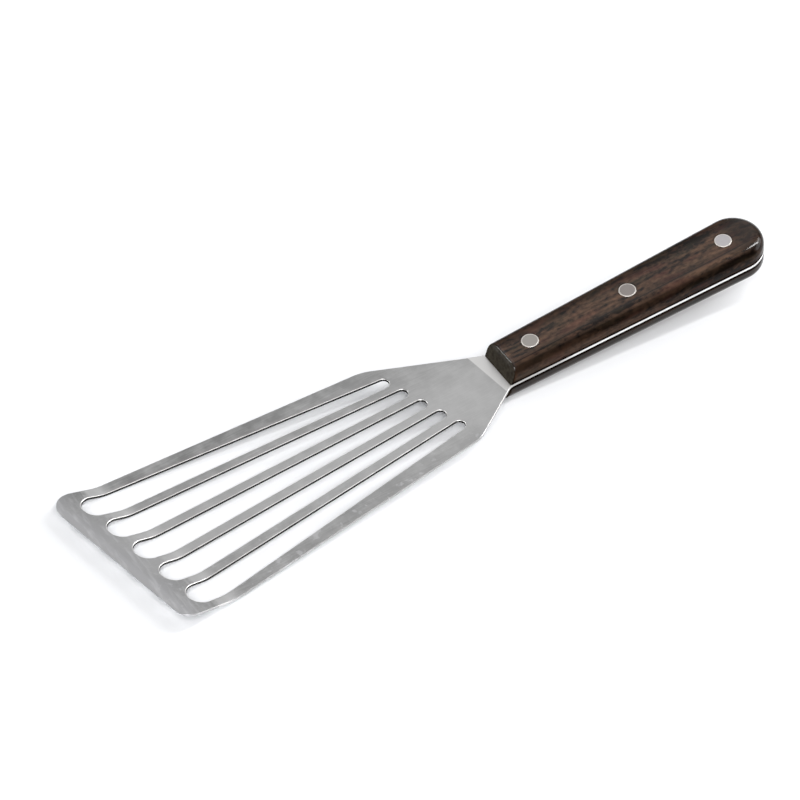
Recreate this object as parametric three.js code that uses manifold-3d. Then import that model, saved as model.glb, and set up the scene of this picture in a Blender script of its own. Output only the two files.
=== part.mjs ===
// Slotted kitchen spatula: one stamped steel sheet is blade and tang, two wooden scales make the
// handle, and three two-piece rivets hold them together.
// Millimetres. +X runs from the tip to the butt, +Y to the left of someone holding the handle, +Z up.
// The tool is drawn with its tang level and the handle's front end at x = 0. It is then tilted so that
// it rests on z = 0, on the bend of its tip and the front of its lower scale, as on a table.
import * as THREE from 'three';
import { mergeVertices } from 'three/addons/utils/BufferGeometryUtils.js';
import Module from 'manifold-3d';

// Sheet
const sheetThickness = 1.2;
const neckLength = 4.3; // bare tang between the handle and the neck bend, on the tool's axis
const neckBendDeg = 2.4; // how far the handle rises from the plane of the blade
const neckSkewDeg = 8; // how far the line of the neck bend slants from square
const neckFilletRadius = 5;
const shoulderLeftReach = 44; // shoulder corners: distance in front of the handle, and to the side
const shoulderLeftSide = 28.6;
const shoulderLeftRadius = 22;
const shoulderRightReach = 23.4;
const shoulderRightSide = 25.5;
const shoulderRightRadius = 10;

// Tip
const tipReach = 171.6; // handle to front edge, measured on the tool's axis
const tipSkewDeg = 12.1; // how far the front edge slants from square
const tipLeftSide = 34.6; // front corners before rounding, to the side of the axis
const tipRightSide = 45.1;
const tipLeftRadius = 8.8;
const tipRightRadius = 6.3;
const lipReach = 22.7; // upturned lip, seen from above, square to the front edge
const lipAngleDeg = 18;
const lipBendRadius = 14;
const edgeBevelReach = 3; // the front edge is ground thin from above
const edgeThickness = 0.6;

// Slots
const slotCount = 5;
const slotBackWidth = 4.85;
const slotFrontWidth = 10.55;
const slotFrontInset = 13.9; // front edge to the centres of the slots' wide ends
const barBackWidth = 8.2; // outer bars, along the lines that the slot ends lie on
const barFrontLeftWidth = 5;
const barFrontRightWidth = 3.95;

// Handle
const handleLength = 122.3;
const handleFrontWidth = 19.1;
const handleButtWidth = 24.4;
const scaleThickness = 7.5;
const glueGap = 0.1; // film of adhesive on each face of the tang
const scaleEdgeReach = 5; // the rounded edge of a scale: how far it reaches in, and how far it drops
const scaleEdgeDrop = 4.6;
const frontLeanDeg = 22; // the handle's front end is cut in one plane that leans back

// Rivets
const rivetCount = 3;
const rivetFrontDistance = 15.3; // handle's front end to the first rivet
const rivetRearDistance = 16.9; // last rivet to the butt
const rivetHeadDiameter = 7;
const rivetHeadThickness = 2;
const rivetRecess = 0.05; // heads lie this far under the wood
const rivetSocketDiameter = 5;
const rivetPinDiameter = 3.2;
const rivetEndGap = 0.6; // spare depth past the end of the pin and of the socket
const rivetClearance = 0.1; // all round each head, socket and pin

// Facets
const roundSegments = 24;
const cornerSegments = 6;
const bendSegments = 5;
const overshoot = 5; // how far cutting bodies run past what they cut

const { add, cut, keepInside } = await loadSolids();
const radians = THREE.MathUtils.degToRad;
const halfSheet = sheetThickness / 2;
const bondHeight = halfSheet + glueGap; // the scales' flat inner faces
const handleHalfHeight = bondHeight + scaleThickness;

// Plan of the blade: named corner points, with the slanted front edge through (-tipReach, 0)
const skewSlope = Math.tan(radians(tipSkewDeg));
const onFrontLine = (inset, y) =>
  new THREE.Vector2(inset / Math.cos(radians(tipSkewDeg)) - tipReach - skewSlope * y, y);
const tipLeft = onFrontLine(0, tipLeftSide);
const tipRight = onFrontLine(0, -tipRightSide);
const shoulderLeft = new THREE.Vector2(-shoulderLeftReach, shoulderLeftSide);
const shoulderRight = new THREE.Vector2(-shoulderRightReach, -shoulderRightSide);

// Loads the boolean library and returns the three operations that the pieces need.
async function loadSolids() {
  const wasm = await Module();
  wasm.setup();
  const toSolid = (source) => {
    const bare = source.clone();
    bare.deleteAttribute('normal');
    bare.deleteAttribute('uv');
    const merged = mergeVertices(bare, 1e-4);
    return new wasm.Manifold(new wasm.Mesh({
      numProp: 3,
      vertProperties: new Float32Array(merged.getAttribute('position').array),
      triVerts: new Uint32Array(merged.getIndex().array),
    }));
  };
  const toGeometry = (solid) => {
    const mesh = solid.getMesh();
    const geometry = new THREE.BufferGeometry();
    geometry.setAttribute('position', new THREE.BufferAttribute(mesh.vertProperties, 3));
    geometry.setIndex(new THREE.BufferAttribute(mesh.triVerts, 1));
    return geometry;
  };
  const fold = (operation) => (first, ...others) =>
    toGeometry(others.reduce((solid, other) => solid[operation](toSolid(other)), toSolid(first)));
  return { add: fold('add'), cut: fold('subtract'), keepInside: fold('intersect') };
}

// Points of a polygon whose corners are rounded: each corner is { at, radius }.
function roundedPolygon(corners) {
  return corners.flatMap(({ at, radius }, i) => {
    if (!radius) return [at];
    const before = corners.at(i - 1).at.clone().sub(at).normalize();
    const after = corners[(i + 1) % corners.length].at.clone().sub(at).normalize();
    const half = Math.acos(before.dot(after)) / 2;
    const middle = before.clone().add(after).normalize();
    const centre = at.clone().addScaledVector(middle, radius / Math.sin(half));
    const start = at.clone().addScaledVector(before, radius / Math.tan(half)).sub(centre);
    const turn = Math.sign(before.cross(after)) * (Math.PI - 2 * half);
    const step = (k) => start.clone().rotateAround(new THREE.Vector2(), (-turn * k) / cornerSegments);
    return Array.from({ length: cornerSegments + 1 }, (_, k) => step(k).add(centre));
  });
}

// Upright prism over a plan outline, from z = low to z = high.
function prism(points, low, high) {
  const shape = new THREE.Shape(points);
  const geometry = new THREE.ExtrudeGeometry(shape, { depth: high - low, bevelEnabled: false });
  return geometry.translate(0, 0, low);
}

// Body whose side view is the polygon [x, z], carried across the tool from y = -half to y = half.
function sideBody(profile, half) {
  const shape = new THREE.Shape(profile.map(([x, z]) => new THREE.Vector2(x, z)));
  const geometry = new THREE.ExtrudeGeometry(shape, { depth: 2 * half, bevelEnabled: false });
  return geometry.translate(0, 0, -half).rotateX(Math.PI / 2);
}

// Turned body about a vertical axis at (x, 0): profile is a list of [radius, z].
function turned(profile, x = 0) {
  const points = profile.map(([radius, z]) => new THREE.Vector2(radius, z));
  return new THREE.LatheGeometry(points, roundSegments).rotateX(Math.PI / 2).translate(x, 0, 0);
}

// Solid rod for cutting holes.
function rod(radius, low, high, x) {
  return turned([[0, low], [radius, low], [radius, high], [0, high]], x);
}

// Handle outline: straight sides that run tangent into a round butt, from x = start.
const buttRadius = handleButtWidth / 2;
const buttCentre = handleLength - buttRadius;
const frontHalf = handleFrontWidth / 2;
const buttReach = Math.hypot(frontHalf, buttCentre); // front corner to the butt's centre
const sideAngle = Math.asin(buttRadius / buttReach) - Math.atan2(frontHalf, buttCentre);
const handleHalfWidth = (x) => frontHalf + x * Math.tan(sideAngle);
function handleShape(start) {
  const shape = new THREE.Shape();
  shape.moveTo(start, handleHalfWidth(start));
  shape.lineTo(start, -handleHalfWidth(start));
  shape.absarc(buttCentre, 0, buttRadius, -Math.PI / 2 - sideAngle, Math.PI / 2 + sideAngle, false);
  return shape;
}

// Where the rivets stand along the handle, and the heights that the two halves share.
const rivetStep = (handleLength - rivetFrontDistance - rivetRearDistance) / (rivetCount - 1);
const rivetPlaces = Array.from({ length: rivetCount }, (_, i) => rivetFrontDistance + i * rivetStep);
const headFace = handleHalfHeight - rivetRecess;
const headSeat = headFace - rivetHeadThickness;

// Plan of a tapered slot: two round ends joined by their tangents.
function slotOutline(back, front) {
  const backRadius = slotBackWidth / 2;
  const frontRadius = slotFrontWidth / 2;
  const along = back.clone().sub(front);
  const taper = Math.acos((frontRadius - backRadius) / along.length());
  const shape = new THREE.Shape();
  shape.absarc(front.x, front.y, frontRadius, along.angle() + taper, along.angle() - taper, false);
  shape.absarc(back.x, back.y, backRadius, along.angle() - taper, along.angle() + taper, false);
  return shape.getPoints(roundSegments / 2);
}

// Evenly spaced centres on the line from a to b, the end ones set in by the given margins.
function spacedCentres(a, b, marginA, marginB) {
  const line = b.clone().sub(a);
  const step = (line.length() - marginA - marginB) / (slotCount - 1);
  line.normalize();
  return Array.from({ length: slotCount }, (_, i) => a.clone().addScaledVector(line, marginA + i * step));
}

// Point where the side of the blade between a and b crosses the slots' front line.
function sideOnSlotLine(a, b) {
  const start = onFrontLine(slotFrontInset, a.y).x - a.x;
  const end = onFrontLine(slotFrontInset, b.y).x - b.x;
  return a.clone().lerp(b, start / (start - end));
}

function slotOutlines() {
  const backMargin = barBackWidth + slotBackWidth / 2;
  const backs = spacedCentres(shoulderLeft, shoulderRight, backMargin, backMargin);
  const left = sideOnSlotLine(tipLeft, shoulderLeft);
  const right = sideOnSlotLine(tipRight, shoulderRight);
  const frontRadius = slotFrontWidth / 2;
  const leftMargin = barFrontLeftWidth + frontRadius;
  const rightMargin = barFrontRightWidth + frontRadius;
  const fronts = spacedCentres(left, right, leftMargin, rightMargin);
  return backs.map((back, i) => slotOutline(back, fronts[i]));
}

// Plan outline of the blade, neck and tang.
function sheetOutline() {
  const inTang = buttCentre / 2;
  return roundedPolygon([
    { at: new THREE.Vector2(0, frontHalf), radius: neckFilletRadius },
    { at: shoulderLeft, radius: shoulderLeftRadius },
    { at: tipLeft, radius: tipLeftRadius },
    { at: tipRight, radius: tipRightRadius },
    { at: shoulderRight, radius: shoulderRightRadius },
    { at: new THREE.Vector2(0, -frontHalf), radius: neckFilletRadius },
    { at: new THREE.Vector2(inTang, -handleHalfWidth(inTang)) },
    { at: new THREE.Vector2(inTang, handleHalfWidth(inTang)) },
  ]);
}

// The blade's plane rises from the slanted line of the neck bend: its height at a place in plan.
const neckSlant = Math.tan(radians(neckSkewDeg));
const neckSlope = Math.tan(radians(neckBendDeg)) * Math.cos(radians(neckSkewDeg));
const bladeRise = (x, y) => (-neckLength - x - neckSlant * y) * neckSlope;

// Side view of tang, neck and blade, long enough to reach past the tip. The neck is a mitred bend, and the
// whole body is slanted across the tool so that this bend follows its line.
function tangAndBladeBody() {
  const mitre = (halfSheet * Math.tan(radians(neckBendDeg / 2))) / Math.cos(radians(neckSkewDeg));
  const face = halfSheet / Math.cos(radians(neckBendDeg));
  const far = -tipReach;
  const profile = [
    [handleLength + overshoot, -halfSheet],
    [handleLength + overshoot, halfSheet],
    [mitre - neckLength, halfSheet],
    [far, bladeRise(far, 0) + face],
    [far, bladeRise(far, 0) - face],
    [-mitre - neckLength, -halfSheet],
  ];
  const slant = new THREE.Matrix4().makeShear(0, 0, -neckSlant, 0, 0, 0);
  return sideBody(profile, tipRightSide + overshoot).applyMatrix4(slant);
}

// Moves a body drawn square to the front edge, in the blade's plane, to its place on the tool.
function placeOnBlade(geometry) {
  return geometry
    .rotateZ(radians(tipSkewDeg))
    .translate(-tipReach + neckLength, 0, 0)
    .rotateZ(-radians(neckSkewDeg))
    .rotateY(radians(neckBendDeg))
    .rotateZ(radians(neckSkewDeg))
    .translate(-neckLength, 0, 0);
}

// Side view of the upturned lip, square to the front edge, which is at x = 0. It starts on the flat blade.
function lipBody() {
  const turn = radians(lipAngleDeg);
  const arc = (radius) => Array.from({ length: bendSegments + 1 }, (_, i) => {
    const angle = (turn * i) / bendSegments;
    return [lipReach - radius * Math.sin(angle), lipBendRadius - radius * Math.cos(angle)];
  });
  const top = arc(lipBendRadius - halfSheet);
  const bottom = arc(lipBendRadius + halfSheet);
  const lengthen = ([x, z], reach) => [x - reach, z + reach * Math.tan(turn)];
  const topEnd = top.at(-1);
  const bottomEnd = bottom.at(-1);
  const edgeDrop = (sheetThickness - edgeThickness) / Math.cos(turn);
  const ground = ([x, z]) => [x, z - edgeDrop];
  const profile = [
    [lipReach + overshoot, -halfSheet],
    ...bottom,
    lengthen(bottomEnd, bottomEnd[0] + overshoot),
    ground(lengthen(topEnd, topEnd[0] + overshoot)),
    ground(lengthen(topEnd, topEnd[0])),
    lengthen(topEnd, topEnd[0] - edgeBevelReach),
    ...top.reverse(),
    [lipReach + overshoot, halfSheet],
  ];
  return placeOnBlade(sideBody(profile, tipLeftSide + tipRightSide));
}

// Everything in front of the line where the lip starts to bend.
function aheadOfLip() {
  const reach = tipReach + overshoot;
  const block = new THREE.BoxGeometry(reach, 2 * reach, 2 * reach);
  return placeOnBlade(block.translate(lipReach - reach / 2, 0, 0));
}

function bladeAndTang() {
  const reach = handleHalfHeight + tipReach;
  const flat = cut(tangAndBladeBody(), aheadOfLip());
  const bent = add(flat, lipBody());
  const tangPlan = handleShape(-neckLength / 2).getPoints(roundSegments);
  const plan = add(prism(sheetOutline(), -reach, reach), prism(tangPlan, -reach, reach));
  const slots = slotOutlines().map((points) => prism(points, -reach, reach));
  const holeRadius = rivetSocketDiameter / 2 + rivetClearance;
  const holes = rivetPlaces.map((x) => rod(holeRadius, -reach, reach, x));
  return cut(keepInside(bent, plan), ...slots, ...holes);
}

// Where the leaning front end of the handle is at height z: the upper scale starts at x = 0.
const frontPlane = (z) => (z - bondHeight) * Math.tan(radians(frontLeanDeg));

// Both scales are shaped as one round-edged block, of which each keeps its side of the tang.
function scale(side) {
  const edgeReach = Math.min(scaleEdgeReach, frontHalf - rivetHeadDiameter / 2);
  const edgeDrop = Math.min(scaleEdgeDrop, scaleThickness);
  const start = frontPlane(-handleHalfHeight) - overshoot - edgeReach;
  const block = new THREE.ExtrudeGeometry(handleShape(start), {
    depth: 2 * (handleHalfHeight - edgeDrop),
    bevelThickness: edgeDrop,
    bevelSize: edgeReach,
    bevelOffset: -edgeReach,
    bevelSegments: cornerSegments,
    curveSegments: roundSegments,
  }).translate(0, 0, edgeDrop - handleHalfHeight);
  const past = handleHalfHeight + overshoot;
  const ahead = -handleLength;
  const front = sideBody([
    [ahead, -past],
    [frontPlane(-past), -past],
    [frontPlane(past), past],
    [ahead, past],
  ], handleButtWidth);
  const otherSide = new THREE.BoxGeometry(4 * handleLength, 2 * handleButtWidth, 2 * past);
  otherSide.translate(0, 0, side * (bondHeight - past));
  const seat = side * (headSeat - rivetClearance);
  const bores = rivetPlaces.flatMap((x) => [
    rod(rivetSocketDiameter / 2 + rivetClearance, -past, past, x),
    rod(rivetHeadDiameter / 2 + rivetClearance, Math.min(seat, side * past), Math.max(seat, side * past), x),
  ]);
  return cut(block, otherSide, front, ...bores);
}

// Upper half: a flat head on a pin.
function rivetPin(x) {
  const head = rivetHeadDiameter / 2;
  const pin = rivetPinDiameter / 2;
  const end = rivetEndGap - headSeat;
  return turned([
    [0, end], [pin, end], [pin, headSeat],
    [head, headSeat], [head, headFace], [0, headFace],
  ], x);
}

// Lower half: a flat head on a tube that takes the pin.
function rivetSocket(x) {
  const head = rivetHeadDiameter / 2;
  const tube = rivetSocketDiameter / 2;
  const bore = rivetPinDiameter / 2 + rivetClearance;
  const mouth = headSeat - rivetEndGap;
  return turned([
    [0, -headFace], [head, -headFace], [head, -headSeat], [tube, -headSeat],
    [tube, mouth], [bore, mouth], [bore, -headSeat], [0, -headSeat],
  ], x);
}

function piece(name, geometry, finish) {
  const mesh = new THREE.Mesh(geometry, new THREE.MeshStandardMaterial(finish));
  mesh.name = name;
  return mesh;
}

const satinSteel = { color: '#a8a9aa', metalness: 1, roughness: 0.38 };
const darkWood = { color: '#3b2821', metalness: 0, roughness: 0.55 };
const rivetSteel = { color: '#b4b3b1', metalness: 1, roughness: 0.42 };

const tool = new THREE.Group();
tool.add(piece('blade_and_tang', bladeAndTang(), satinSteel));
tool.add(piece('upper_scale', scale(1), darkWood));
tool.add(piece('lower_scale', scale(-1), darkWood));
rivetPlaces.forEach((x, i) => {
  const name = ['front', 'middle', 'rear'][i] ?? `rear_${i}`;
  tool.add(piece(`${name}_rivet_pin`, rivetPin(x), rivetSteel));
  tool.add(piece(`${name}_rivet_socket`, rivetSocket(x), rivetSteel));
});

// Rest on the table: the left end of the lip's bend and the front of the lower scale are level.
function restTilt() {
  const left = onFrontLine(lipReach, tipLeftSide);
  const underside = bladeRise(left.x, left.y) - halfSheet;
  return Math.atan2(underside + handleHalfHeight, frontPlane(-handleHalfHeight) - left.x);
}
tool.rotation.y = -restTilt();

// The origin is under the middle of the tool, on the table.
const spatula = new THREE.Group();
spatula.add(tool);
spatula.updateMatrixWorld(true);
const box = new THREE.Box3().setFromObject(spatula, true);
const middle = box.getCenter(new THREE.Vector3());
tool.position.set(-middle.x, -middle.y, -box.min.z);

export default spatula;
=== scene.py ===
# %% [markdown]
# # A slotted kitchen spatula
# The imported model holds the tool's real sizes, as faceted solids. This lesson keeps its frame and dresses
# it: a steel sheet with softened edges, two wooden scales shaped round the tang, and three compression
# rivets. We could bevel the imported solids, but their facets would show in the gloss. So we draw each piece
# again from the same few sizes.

# %% The frame
import math
import bpy
import bmesh
import numpy as np
from mathutils import Matrix


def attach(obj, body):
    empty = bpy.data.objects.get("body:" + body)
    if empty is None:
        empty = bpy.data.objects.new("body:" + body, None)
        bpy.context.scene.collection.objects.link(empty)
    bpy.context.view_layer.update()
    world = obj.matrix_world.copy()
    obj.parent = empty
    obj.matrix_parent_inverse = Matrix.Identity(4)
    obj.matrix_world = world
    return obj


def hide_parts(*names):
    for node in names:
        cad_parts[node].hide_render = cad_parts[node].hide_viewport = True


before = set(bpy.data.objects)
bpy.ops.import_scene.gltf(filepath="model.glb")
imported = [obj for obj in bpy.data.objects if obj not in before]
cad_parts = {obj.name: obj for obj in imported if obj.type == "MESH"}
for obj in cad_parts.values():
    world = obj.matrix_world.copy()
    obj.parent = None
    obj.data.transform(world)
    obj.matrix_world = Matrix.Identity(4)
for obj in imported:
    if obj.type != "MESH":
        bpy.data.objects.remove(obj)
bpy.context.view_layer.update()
MM = 0.001


# %% [markdown]
# ## The drawing board
# A maker draws this tool with its tang level, and lays it on the table afterwards. We could turn each
# finished object, but an object has to sit unturned at the origin, with its place in its mesh. So every
# shape is drawn in millimetres, with the handle's front end at x = 0 and the middle of the tang at z = 0,
# and one function tilts the drawing to the way the tool rests and gives metres in the shared frame.

# %% From the drawing to the table
REST_TILT = math.radians(5.138152)
TOOL_AT = np.array([27.584789, 5.103983, 8.489083])


def to_table(points):
    """A turn about Y by the rest tilt t, then a shift: x cos t - z sin t, y, x sin t + z cos t."""
    x, y, z = np.moveaxis(np.asarray(points, float), -1, 0)
    cos, sin = math.cos(REST_TILT), math.sin(REST_TILT)
    return (np.stack([x * cos - z * sin, y, x * sin + z * cos], axis=-1) + TOOL_AT) * MM


print("the handle's front end is at", to_table([0, 0, 0]).round(4))

# %% [markdown]
# ## From grids to a mesh
# Each surface below is a grid of points: a table with rows and columns. Neighbouring grids share the points
# on their common border. We could model each piece by hand from a cube, but grids keep every row where its
# formula puts it. We stack them, weld the shared points, and let Blender turn all faces outwards, which it
# can because the welded shell is closed. Weighted normals keep the flat faces flat beside their small round
# edges.

# %% The grid welder
WELD_REACH, SLIVER = 0.002 * MM, 0.0001 * MM
CREASE = math.radians(35)


def cells(grid, first):
    """Corner numbers of each cell of a rows by columns grid whose points are numbered from first."""
    rows, columns = grid.shape[:2]
    number = first + np.arange(rows * columns).reshape(rows, columns)
    corners = [number[:-1, :-1], number[:-1, 1:], number[1:, 1:], number[1:, :-1]]
    return np.stack(corners, axis=-1).reshape(-1, 4)


def close_shell(mesh):
    """Welds a mesh's shared points, turns its faces outwards, and counts the edges that stay open."""
    shell = bmesh.new()
    shell.from_mesh(mesh)
    bmesh.ops.remove_doubles(shell, verts=shell.verts, dist=WELD_REACH)
    bmesh.ops.dissolve_degenerate(shell, edges=shell.edges, dist=SLIVER)
    bmesh.ops.recalc_face_normals(shell, faces=shell.faces)
    open_edges = sum(not edge.is_manifold for edge in shell.edges)
    shell.to_mesh(mesh)
    shell.free()
    return open_edges


def weld(name, grids, finishes=None):
    """A closed piece from grids in the drawing's millimetres. Each grid may name its finish by number."""
    firsts = np.cumsum([0] + [grid.shape[0] * grid.shape[1] for grid in grids])
    points = to_table(np.concatenate([grid.reshape(-1, 3) for grid in grids]))
    faces = [cells(grid, first) for grid, first in zip(grids, firsts)]
    finish = np.repeat(finishes or [0] * len(grids), [len(part) for part in faces])
    mesh = bpy.data.meshes.new(name)
    mesh.from_pydata(points.tolist(), [], np.concatenate(faces).tolist())
    mesh.polygons.foreach_set("material_index", finish)
    open_edges = close_shell(mesh)
    mesh.shade_smooth()
    mesh.set_sharp_from_angle(angle=CREASE)
    piece = bpy.data.objects.new(name, mesh)
    bpy.context.collection.objects.link(piece)
    weighted = piece.modifiers.new("flat faces stay flat", "WEIGHTED_NORMAL")
    weighted.keep_sharp = True
    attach(piece, "root")
    print(f"{name}: {len(mesh.polygons)} faces, {open_edges} open edges")
    return piece


# %% [markdown]
# ## The plan of the sheet
# The blade, neck and tang are one stamped blank, so one closed outline describes it: a round butt, the
# tang's sides, the shoulders, and the skewed tip. A curve object could hold it, but the scales and the
# sheet's walls follow the same line, so we want it as numbers. First come its sharp corners, each with the
# radius that rounds it.

# %% Corners of the outline
HANDLE_LENGTH = 122.3
FRONT_HALF, BUTT_RADIUS = 9.55, 12.2
BUTT_X = HANDLE_LENGTH - BUTT_RADIUS
SIDE_ANGLE = math.asin(BUTT_RADIUS / math.hypot(FRONT_HALF, BUTT_X)) - math.atan2(FRONT_HALF, BUTT_X)
TIP_REACH, TIP_SKEW = 171.6, math.radians(12.1)


def on_front_line(inset, y):
    """The point at side distance y on the line that lies inset behind the slanted front edge."""
    return np.array([inset / math.cos(TIP_SKEW) - TIP_REACH - math.tan(TIP_SKEW) * y, y])


NECK_LEFT, NECK_RIGHT = np.array([0, FRONT_HALF]), np.array([0, -FRONT_HALF])
SHOULDER_LEFT, SHOULDER_RIGHT = np.array([-44, 28.6]), np.array([-23.4, -25.5])
TIP_LEFT, TIP_RIGHT = on_front_line(0, 34.6), on_front_line(0, -45.1)
CORNERS = [NECK_LEFT, SHOULDER_LEFT, TIP_LEFT, TIP_RIGHT, SHOULDER_RIGHT, NECK_RIGHT]
RADII = [5, 22, 8.8, 6.3, 10, 5]
print(f"each side of the tang opens by {math.degrees(SIDE_ANGLE):.2f} degrees towards the butt")

# %% [markdown]
# We then walk round the outline once, anticlockwise from the end of the butt, and round each corner with an
# arc. The walk gives points, outward directions and the distance walked, by which later steps ask for a
# place. Its first half is the left side.

# %% The outline walk
BUTT_POINTS, CORNER_POINTS = 61, 41
BUTT_TURN = math.pi / 2 + SIDE_ANGLE
LEFT_ARCS = 4


def right_of(direction):
    """The direction turned a quarter to the right, which is outwards on an anticlockwise walk."""
    return np.stack([direction[..., 1], -direction[..., 0]], axis=-1)


def heading(angle):
    """The direction at an angle from x: its cosine and its sine."""
    return np.stack([np.cos(angle), np.sin(angle)], axis=-1)


def butt_arc(start, end):
    """Points and outward directions on the round butt between two angles."""
    outward = heading(np.linspace(start, end, BUTT_POINTS))
    return np.array([BUTT_X, 0]) + BUTT_RADIUS * outward, outward


def corner_arc(before, corner, after, radius):
    """An arc tangent to both sides of a corner: it turns evenly and lies radius off its centre."""
    come, go = corner - before, after - corner
    come, go = come / np.hypot(*come), go / np.hypot(*go)
    turn = math.atan2(come[0] * go[1] - come[1] * go[0], come @ go)
    angle = math.atan2(come[1], come[0]) + turn * np.linspace(0, 1, CORNER_POINTS)
    outward = right_of(heading(angle))
    start = corner - come * radius * math.tan(abs(turn) / 2)
    signed = math.copysign(radius, turn)
    return start - signed * outward[0] + signed * outward, outward


butt_left, butt_right = butt_arc(0, BUTT_TURN), butt_arc(-BUTT_TURN, 0)
stops = [butt_left[0][-1], *CORNERS, butt_right[0][0]]
corner_arcs = [corner_arc(*stops[i:i + 3], radius) for i, radius in enumerate(RADII)]
arcs = [butt_left, *corner_arcs, butt_right]
WALK = np.concatenate([points for points, _ in arcs])
OUTWARD = np.concatenate([outward for _, outward in arcs])
WALKED = np.concatenate([[0], np.cumsum(np.hypot(*np.diff(WALK, axis=0).T))])
TIP = sum(len(points) for points, _ in arcs[:LEFT_ARCS])
LEFT, RIGHT = slice(0, TIP), slice(TIP, None)
print(f"the outline is {WALKED[-1]:.1f} mm round")

# %% [markdown]
# ## The slots
# The blade is a comb: six bars with five slots between them, closed by a band at the tip and by the
# shoulders at the back. A Boolean modifier could cut the slots, but no row of faces would follow their rims
# then, and the soft rims are what catches the light. So we place the centres of their round ends, and build
# the metal round them.

# %% Where the slots are
SLOTS, SLOT_FRONT, SLOT_BACK = 5, 10.55 / 2, 4.85 / 2
SLOT_INSET, BAR_BACK, BAR_LEFT, BAR_RIGHT = 13.9, 8.2, 5, 3.95


def spaced(start, end, first, last):
    """Evenly spaced centres between two points, the end ones set in by first and last."""
    along = end - start
    length = np.hypot(*along)
    return start + along / length * np.linspace(first, length - last, SLOTS)[:, None]


def side_on_slot_line(tip, shoulder):
    """Where a side of the blade crosses the line of the slots' wide ends."""
    miss = [on_front_line(SLOT_INSET, end[1])[0] - end[0] for end in (tip, shoulder)]
    return tip + (shoulder - tip) * miss[0] / (miss[0] - miss[1])


BACKS = spaced(SHOULDER_LEFT, SHOULDER_RIGHT, BAR_BACK + SLOT_BACK, BAR_BACK + SLOT_BACK)
FRONTS = spaced(
    side_on_slot_line(TIP_LEFT, SHOULDER_LEFT), side_on_slot_line(TIP_RIGHT, SHOULDER_RIGHT),
    BAR_LEFT + SLOT_FRONT, BAR_RIGHT + SLOT_FRONT,
)
print("slots from", BACKS.round(1).tolist(), "to", FRONTS.round(1).tolist())

# %% [markdown]
# A slot's side is the common tangent of its two round ends, so one formula draws it: a centre and a radius
# that slide from end to end, plus a direction that swings round each end. The rows lie close together in
# the first part of a side, where the lip bends.

# %% Sides of the slots
FRONT_TURN_ROWS, LIP_ROWS, BAR_ROWS, BACK_TURN_ROWS = 12, 26, 60, 10
LIP_PART = 0.09
slot_lines = BACKS - FRONTS
slot_lengths = np.hypot(*slot_lines.T)[:, None]
SLOT_AXES = slot_lines / slot_lengths
slot_across = np.stack([-SLOT_AXES[:, 1], SLOT_AXES[:, 0]], axis=-1)
tangent = np.arccos((SLOT_FRONT - SLOT_BACK) / slot_lengths)
straight = np.append(np.linspace(0, LIP_PART, LIP_ROWS), np.linspace(LIP_PART, 1, BAR_ROWS)[1:])
slide = np.concatenate([np.zeros(FRONT_TURN_ROWS), straight, np.ones(BACK_TURN_ROWS)])
swing_in = np.linspace(1, 0, FRONT_TURN_ROWS + 1)[:-1]
swing_out = np.linspace(0, -1, BACK_TURN_ROWS + 1)[1:]
swing = np.concatenate([swing_in, 0 * straight, swing_out])
slot_angle = tangent + np.maximum(swing, 0) * (math.pi - tangent) + np.minimum(swing, 0) * tangent


def slot_side(side, grown):
    """One side of every slot, from front apex to back apex, its ends grown by that much: centre + radius *
    direction. Returns points and the directions that point into the metal."""
    centre = FRONTS[:, None] + slide[:, None] * slot_lines[:, None]
    radius = SLOT_FRONT + slide * (SLOT_BACK - SLOT_FRONT) + grown
    along = np.cos(slot_angle)[..., None] * SLOT_AXES[:, None]
    direction = along + side * np.sin(slot_angle)[..., None] * slot_across[:, None]
    return centre + radius[:, None] * direction, direction


print(f"{len(slide)} rows along each side of a slot")

# %% [markdown]
# ## Rows on the outer sides
# The edge of a stamped sheet isn't razor sharp, so its flat faces stop a little short of the walls, and the
# slots' rims are rolled a little more. A Bevel modifier could do this, but it would round the front edge as
# well, which is ground thin. The polish has also taken a hair off every outer side, which keeps the smooth
# curves inside the box of the faceted solids. A place on the rim is found by its distance behind a line,
# which only grows along a side.

# %% Places on the rim
EDGE, ROLLED, POLISH = 0.2, 0.35, 0.05
FACE_IN = EDGE + POLISH
NECK_X, NECK_SKEW = -4.3, math.radians(8)
back_along = (SHOULDER_RIGHT - SHOULDER_LEFT) / np.hypot(*(SHOULDER_RIGHT - SHOULDER_LEFT))
# a line is a point on it and the direction straight back from it
FRONT_EDGE = on_front_line(0, 0), heading(TIP_SKEW)
SLOT_BACKS = SHOULDER_LEFT, -right_of(back_along)
NECK_LINE = np.array([NECK_X, 0]), heading(NECK_SKEW)
HANDLE_FRONT = np.zeros(2), np.array([1, 0])


def behind(line, points):
    """Distance behind a line: how far the way from its point to each of the points runs straight back."""
    start, straight_back = line
    return (points - start) @ straight_back


def walked_to(side, line, wanted):
    """Distance walked to where the flat face's rim is this far behind a line, on one side."""
    values, walked = behind(line, (WALK - FACE_IN * OUTWARD)[side]), WALKED[side]
    order = np.argsort(values)
    return np.interp(wanted, values[order], walked[order])


def outline(walked):
    """Points on the flat face's rim, set in from the outline at these distances, and outward directions."""
    outward = np.stack([np.interp(walked, WALKED, OUTWARD[:, k]) for k in (0, 1)], axis=-1)
    points = np.stack([np.interp(walked, WALKED, WALK[:, k]) for k in (0, 1)], axis=-1)
    return points - FACE_IN * outward, outward


neck_walked = [walked_to(side, NECK_LINE, 0) for side in (LEFT, RIGHT)]
print("the neck bend crosses the rim at", np.round(neck_walked, 1), "mm")

# %% [markdown]
# Each side has as many rows as the outermost slot, the band at the tip and the shoulder, because the metal
# between a slot and the rim is ruled straight across from row to row.

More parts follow.
